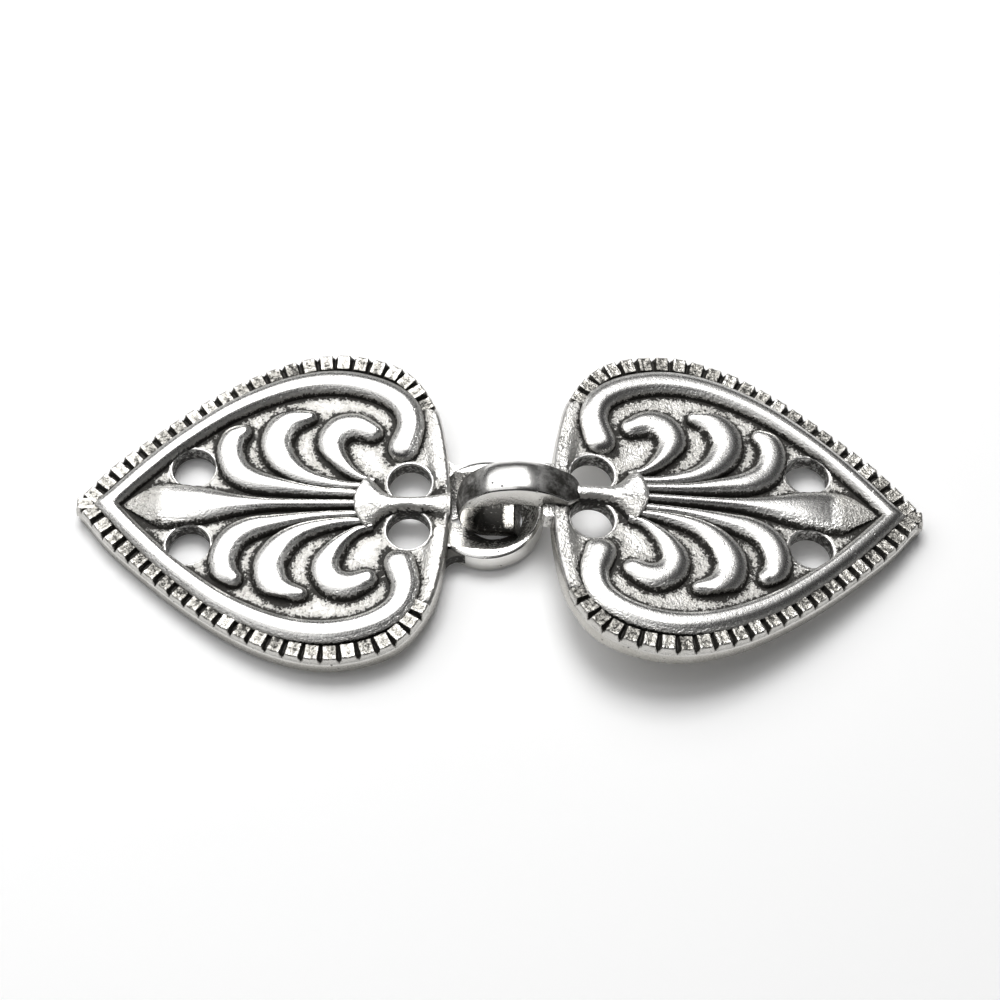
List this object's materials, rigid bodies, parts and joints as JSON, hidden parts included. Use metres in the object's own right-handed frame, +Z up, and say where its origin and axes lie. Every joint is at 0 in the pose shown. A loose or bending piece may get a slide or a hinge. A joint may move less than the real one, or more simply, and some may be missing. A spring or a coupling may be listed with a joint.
{
  "type": "cardigan clip",
  "caption": "Hook-and-eye cardigan clip of mirrored heart-shaped plates with milled rim, palmette relief and sewing holes, shown fastened.",
  "frame": {"origin": "middle of the fastened clip's outline, on the surface that it lies on", "axes": "+X along the clip from the eye plate's tip to the hook plate's tip, +Y across it, +Z up out of the relief"},
  "size_m": [0.0644, 0.0269, 0.0071],
  "materials": {
    "antique_silver": "antique silver plating, polished crests over dark oxide in the recesses"
  },
  "bodies": {
    "root": {"eye_half": "antique_silver", "hook_half": "antique_silver"}
  },
  "joints": []
}
